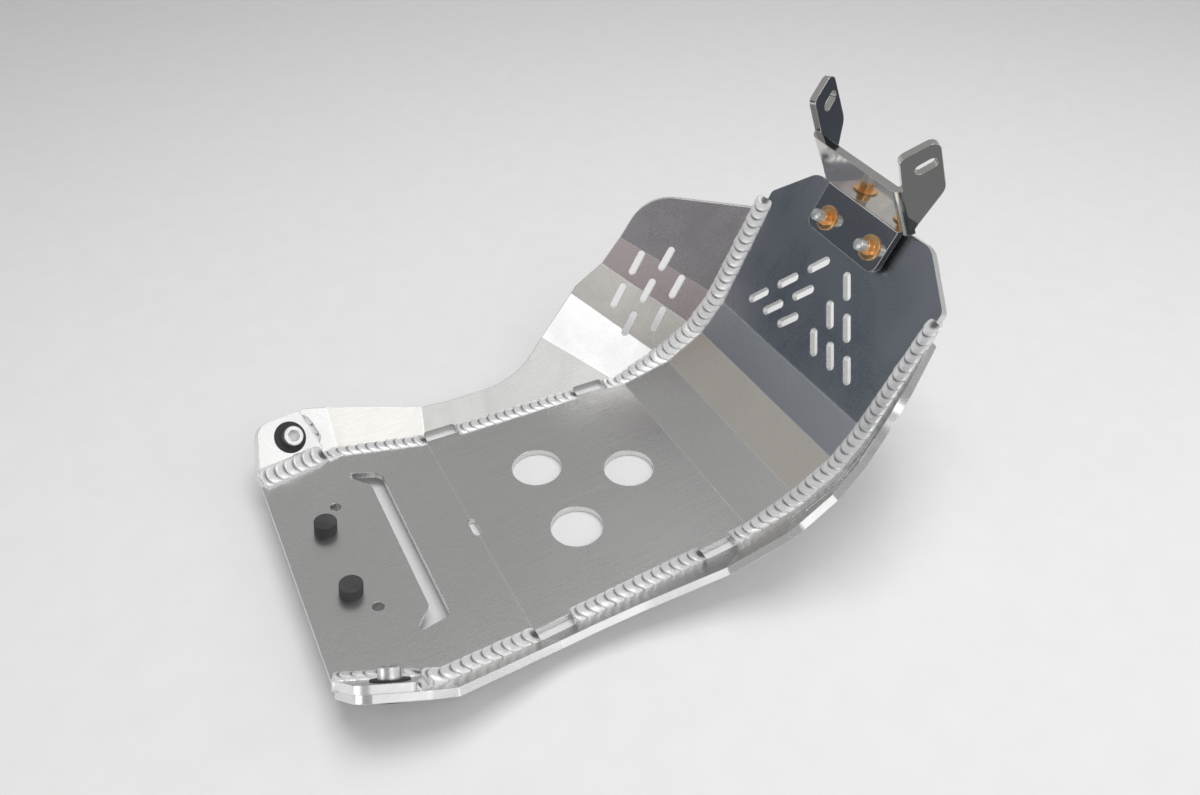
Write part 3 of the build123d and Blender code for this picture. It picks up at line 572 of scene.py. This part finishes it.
def bead_mesh(name, loops, marks, columns, side):
    """Closed mesh through rows of points; marks are the painted valley shade of the crown points."""
    count = len(loops[0])
    points = [Vector((p.x, p.y * side, p.z)) * MM for loop in loops for p in loop]
    faces = []
    for r in range(len(loops) - 1):
        for i in range(count):
            j = (i + 1) % count
            quad = (r * count + i, r * count + j, (r + 1) * count + j, (r + 1) * count + i)
            faces.append(quad if side < 0 else quad[::-1])
    for r in (0, len(loops) - 1):
        ring = [r * count + i for i in range(count)]
        faces.append(ring if (r == 0) == (side > 0) else ring[::-1])
    mesh = bpy.data.meshes.new(name)
    mesh.from_pydata(points, [], faces)
    mesh.update()
    valley_shade = mesh.attributes.new("valley_shade", "FLOAT", "POINT")
    valley_shade.data.foreach_set("value", [v for row in marks for v in row + [0.0] * (count - columns)])
    mesh.polygons.foreach_set("use_smooth", [True] * len(mesh.polygons))
    piece = bpy.data.objects.new(name, mesh)
    bpy.context.collection.objects.link(piece)
    mesh.materials.append(metals["weld"])
    return piece


def crown_row(q, ease, height, number, relief):
    """Arch of a bead at a share q of its width, and how far it stands out there."""
    arch = max(0.0, 4 * q * (1 - q))
    ripple = relief * (1 + RELIEF_DRIFT * swell(number)) * height * arch**RELIEF_POWER
    return arch, ease * (CROWN * arch**CROWN_POWER + ripple)


def seam_bead(start, end, reach, relief, lift=0.0):
    """Ripple bead along the left seam from one distance to another."""
    loops, marks = [], []
    for at, height, bow, number in ripple_rows(start, end):
        place, run, normal, gap, slope = seam_frame(at)
        out = normal.cross(run)
        wander = WANDER_SWELL * swell(number) + WANDER_RIPPLE * (height - 0.6)
        past = min(1.0, min(at - start, end - at) / END_ROUND)
        ease = END_HEIGHT + (1 - END_HEIGHT) * math.sqrt(1 - (1 - past) ** 2)
        lean = math.radians(slope)
        up = out * math.cos(lean) + normal * math.sin(lean)
        root = place - normal * SHEET + out * gap
        wing_reach, base_reach = reach(at)
        wing_reach *= END_WING + (1 - END_WING) * ease
        base_reach *= END_BASE + (1 - END_BASE) * ease
        toe_wing, inward = on_wing(root + up * (wing_reach + wander))
        sunk = toe_wing - inward
        toe_wing = toe_wing + inward * lift
        toe_base = place - out * (base_reach + WANDER_BASE * wander)
        under = place - normal * SHEET - out * SUNK
        chord = toe_wing - toe_base
        away = run.cross(chord).normalized()
        away = away if away.dot(normal) > 0 else -away
        crown, row = [], []
        for c in range(COLUMNS):
            q = c / (COLUMNS - 1)
            arch, rise = crown_row(q, ease, height, number, relief)
            crown.append(toe_base + chord * q + away * rise - run * (BOW * bow * arch))
            # Painted valley shade: strongest low in a ripple and across the middle of the bead.
            row.append((1 - height) * arch**0.5)
        loops.append(crown + [sunk, root + out * SUNK, under, toe_base - normal])
        marks.append(row)
    return loops, marks, COLUMNS


def boss_front_bead():
    """Short bead up the front edge of a boss plate, on the wing tab."""
    start, along, up, inward = FACETS[0]
    path = [Vector((x, y, 0)) for x, y in BOSS_EDGE]
    runs = [b - a for a, b in zip(path, path[1:])]
    total = sum(r.length for r in runs)
    loops, marks = [], []
    for at, height, bow, number in ripple_rows(0.0, total):
        i = 0 if at < runs[0].length else 1
        spot = path[i] + runs[i].normalized() * (at - i * runs[0].length)
        run = (runs[0] * (1 - at / total) + runs[1] * (at / total)).normalized()
        out = Vector((run.y, -run.x, 0))
        ease = min(1.0, BOSS_END + min(at, total - at) / BOSS_ROUND)
        toe = spot + out * (BOSS_TOE * ease + BOSS_DRIFT * swell(number))
        heel = spot - out * BOSS_HEEL
        crown, row = [], []
        for c in range(BOSS_COLUMNS):
            q = c / (BOSS_COLUMNS - 1)
            arch = max(0.0, 4 * q * (1 - q))
            base = heel.lerp(toe, q) - run * (BOSS_BOW * BOW * bow * arch)
            rise = BOSS_CROWN * arch**CROWN_POWER + BOSS_RELIEF * height * arch**BOSS_RELIEF_POWER
            lift = SHEET * (1 - q) + ease * rise
            crown.append(start + along * base.x + up * base.y + inward * lift)
            # Painted valley shade: strongest low in a ripple and across the middle of the bead.
            row.append((1 - height) * arch**0.5)
        deep = [start + along * p.x + up * p.y - inward for p in (toe, heel)]
        loops.append(crown + deep)
        marks.append(row)
    return loops, marks, BOSS_COLUMNS


def make_welds():
    """Ten beads in place of the solids' welds, broken at the drain gaps."""
    bend, ramp_start, ramp_end = seam_length(2), seam_length(3), seam_length(4)
    first, second = bend + DRAIN_FIRST, bend + DRAIN_SECOND
    boss_end = BOSS_EDGE[0][0] - BOSS_OVERLAP

    def plain(at):
        """Reach of the bead over the wing and over the base plate; it widens over the first bends."""
        grow = min(1.0, max(0.0, (at - ramp_start) / (ramp_end - ramp_start)))
        wing_reach = TOE_WING + (TOE_FRONT - TOE_WING) * grow
        base_reach = TOE_BASE + (TOE_BASE_FRONT - TOE_BASE) * grow
        return wing_reach, base_reach

    def at_boss(_):
        return TOE_BOSS, TOE_BASE

    for word, side in SIDES:
        relief = RELIEF[side]
        beads = {
            "weld_boss_base": seam_bead(REAR_START, boss_end, at_boss, relief, SHEET),
            "weld_tab": seam_bead(boss_end + BEAD_GAP, first, plain, relief),
            "weld_middle": seam_bead(first + DRAIN_LENGTH, second, plain, relief),
            "weld_front": seam_bead(second + DRAIN_LENGTH, seam_length(7), plain, relief),
            "weld_boss_front": boss_front_bead(),
        }
        for bead, (loops, marks, columns) in beads.items():
            node = bead + "_" + word
            piece = bead_mesh(node + "_ripples", loops, marks, columns, side)
            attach(piece, "root")
            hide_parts(node)


make_welds()


# Bracket fasteners. The collar's rows are radius and height over the front plate.
BOLT_ALONG, BOLT_HALF, BOLT_RADIUS = 104.0, 22.9, 3.95
THREAD_PITCH, THREAD_DEPTH, THREAD_STEP = 1.25, 0.22, 0.125
THREAD_START, TIP_END, TIP_CHAMFER = 15.0, 22.5, 0.9
THREAD_PROUD, TIP_ROUND = 0.02, 0.2
THREAD_COLUMNS, COLLAR_COLUMNS = 48, 64
COLLAR = (
    (BOLT_RADIUS, 9.0),
    (8.55, 9.0),
    (8.95, 9.3),
    (8.95, 9.9),
    (8.55, 10.25),
    (5.5, 10.35),
    (5.0, 10.8),
    (5.0, 15.3),
    (4.7, 15.7),
    (BOLT_RADIUS, 15.7),
)


def plate_point(along, half, depth):
    """Point over the front plate, in metres: up the plate, to the left, into the bowl."""
    rise = math.radians(RUNS[-1][1])
    up = Vector((math.cos(rise), 0, math.sin(rise)))
    inward = Vector((-math.sin(rise), 0, math.cos(rise)))
    corner = Vector((STATIONS[6].x, 0, STATIONS[6].z))
    return (corner + up * along + Vector((0, half, 0)) + inward * depth) * MM


def lathe(rows, side):
    """Mesh turned about a bracket bolt's axis; rows hold a radius for each angle and a height."""
    bm = bmesh.new()
    loops = []
    for radii, height in rows:
        count = len(radii)
        loop = []
        for k, radius in enumerate(radii):
            turn = 2 * math.pi * k / count
            along = BOLT_ALONG + radius * math.cos(turn)
            half = side * BOLT_HALF + radius * math.sin(turn)
            loop.append(bm.verts.new(plate_point(along, half, height)))
        loops.append(loop)
    for low, high in zip(loops, loops[1:]):
        for k in range(len(low)):
            j = (k + 1) % len(low)
            bm.faces.new((low[k], low[j], high[j], high[k]))
    return bm, loops


def finish_lathe(name, bm, key, sharp):
    """Object from a turned mesh, smooth but for edges sharper than an angle in degrees."""
    bmesh.ops.recalc_face_normals(bm, faces=bm.faces)
    mesh = bpy.data.meshes.new(name)
    bm.to_mesh(mesh)
    bm.free()
    mesh.polygons.foreach_set("use_smooth", [True] * len(mesh.polygons))
    mesh.set_sharp_from_angle(angle=math.radians(sharp))
    mesh.materials.append(metals[key])
    piece = bpy.data.objects.new(name, mesh)
    bpy.context.collection.objects.link(piece)
    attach(piece, "root")
    return piece


def make_collar(word, side):
    """Flanged collar nut, in place of the plain nut."""
    rows = [([radius] * COLLAR_COLUMNS, height) for radius, height in COLLAR + COLLAR[:1]]
    bm = lathe(rows, side)[0]
    bmesh.ops.remove_doubles(bm, verts=bm.verts, dist=1e-7)
    piece = finish_lathe("bracket_nut_" + word + "_collar", bm, "zinc", 35.0)
    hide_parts("bracket_nut_" + word)


def make_thread(word, side):
    """Threaded tip of a bolt, over the plain end of its solid."""
    rows = []
    height = THREAD_START
    while height < TIP_END:
        chamfer = max(0.0, height - (TIP_END - TIP_CHAMFER))
        radii = []
        for k in range(THREAD_COLUMNS):
            turn = height / THREAD_PITCH - k / THREAD_COLUMNS
            ridge = abs(2 * (turn % 1.0) - 1)
            radii.append(BOLT_RADIUS + THREAD_PROUD + THREAD_DEPTH * ridge - chamfer)
        rows.append((radii, height))
        height += THREAD_STEP
    rows.append(([rows[-1][0][0] - TIP_ROUND] * THREAD_COLUMNS, TIP_END))
    bm, loops = lathe(rows, side)
    bm.faces.new(loops[-1])
    bm.faces.new(loops[0])
    piece = finish_lathe("bracket_bolt_" + word + "_thread", bm, "tip", 60.0)


for word, side in SIDES:
    make_collar(word, side)
    make_thread(word, side)


# Stage and light. A lamp has a name, its place, what it aims at, its size and its watts; a
# flag has a name, its place, its size and its colour.
# Boxes behind the viewer and to the right light the far wing and its boss plate, one
# straight above lights the floor, and two more put the gleam on the weld beads.
LAMPS = (
    ("key", (0.25, -1.30, 1.25), (0.0, 0.05, 0.03), (1.5, 1.1), 4.6),
    ("right", (1.30, -0.88, 0.88), (-0.1, 0.1, 0.05), (0.9, 0.7), 2.4),
    ("top", (0.05, -0.1, 1.7), (0.05, 0.0, 0.0), (0.9, 0.9), 12.0),
    ("strip", (0.50, -0.06, 1.50), (0.0, 0.0, 0.05), (1.1, 0.32), 3.0),
    ("rear", (-1.50, -0.06, 0.42), (0.15, 0.05, 0.1), (0.9, 0.7), 2.4),
)
FLAGS = (
    ("flag_front", (-1.15, 0.96, 0.20), (1.5, 0.85), (0.085, 0.098, 0.12, 1)),
    ("flag_side", (-0.75, -1.30, 0.06), (1.0, 0.55), (0.15, 0.14, 0.15, 1)),
)
FLAG_AIM = (0.1, 0, 0.08)
FLOOR_SIZE, FLOOR_GAP = 12.0, 0.0002


def make_floor():
    """Plain pale paper, a hair under the part."""
    bpy.ops.mesh.primitive_plane_add(size=FLOOR_SIZE, location=(0, 0, cad_low[2] - FLOOR_GAP))
    floor = bpy.context.object
    floor.name = "floor"
    g = Graph("floor_paper")
    grain = g.noise(40.0, 3.0, 0.5)
    color = g.mix(g.remap(grain, 0.3, 0.7), (0.80, 0.80, 0.80, 1), (0.82, 0.82, 0.82, 1))
    g.finish(color, 0.85, None, 0.0)
    floor.data.materials.append(g.mat)


def area(name, place, target, size, power):
    """Rectangular lamp, a soft box that casts no hard shadows."""
    data = bpy.data.lights.new(name, "AREA")
    data.shape = "RECTANGLE"
    data.size, data.size_y = size
    data.energy = power
    light = bpy.data.objects.new(name, data)
    bpy.context.collection.objects.link(light)
    light.location = place
    light.rotation_euler = (Vector(target) - Vector(place)).to_track_quat("-Z", "Y").to_euler()


def flag(name, place, size, color):
    """Dark card that the sheet metal mirrors, as the photograph's studio has."""
    bpy.ops.mesh.primitive_plane_add(size=1.0, location=place)
    card = bpy.context.object
    card.name = name
    card.scale = (size[0], size[1], 1.0)
    card.rotation_euler = (Vector(FLAG_AIM) - Vector(place)).to_track_quat("Z", "Y").to_euler()
    g = Graph(name + "_cloth")
    g.finish((0, 0, 0, 1), 1.0, None, 0.0)
    g.shader.inputs["Emission Color"].default_value = color
    g.shader.inputs["Emission Strength"].default_value = 1.0
    card.data.materials.append(g.mat)
    for ray in ("visible_camera", "visible_diffuse", "visible_transmission", "visible_shadow"):
        setattr(card, ray, False)


def make_lights():
    """Lamps, flags and a grey surround that is lighter near the horizon."""
    world = bpy.data.worlds.new("world")
    bpy.context.scene.world = world
    world.use_nodes = True
    tree = world.node_tree
    back = tree.nodes["Background"]
    coord = tree.nodes.new("ShaderNodeTexCoord")
    split = tree.nodes.new("ShaderNodeSeparateXYZ")
    tree.links.new(coord.outputs["Generated"], split.inputs[0])
    ramp = tree.nodes.new("ShaderNodeValToRGB")
    ramp.color_ramp.elements[0].position = 0.06
    ramp.color_ramp.elements[0].color = (0.62, 0.62, 0.62, 1)
    ramp.color_ramp.elements[1].position = 0.34
    ramp.color_ramp.elements[1].color = (0.385, 0.385, 0.385, 1)
    tree.links.new(split.outputs["Z"], ramp.inputs["Fac"])
    tree.links.new(ramp.outputs["Color"], back.inputs["Color"])
    back.inputs["Strength"].default_value = 1.0
    for lamp in LAMPS:
        area(*lamp)
    bpy.data.objects["top"].visible_glossy = False
    for card in FLAGS:
        flag(*card)


make_floor()
make_lights()
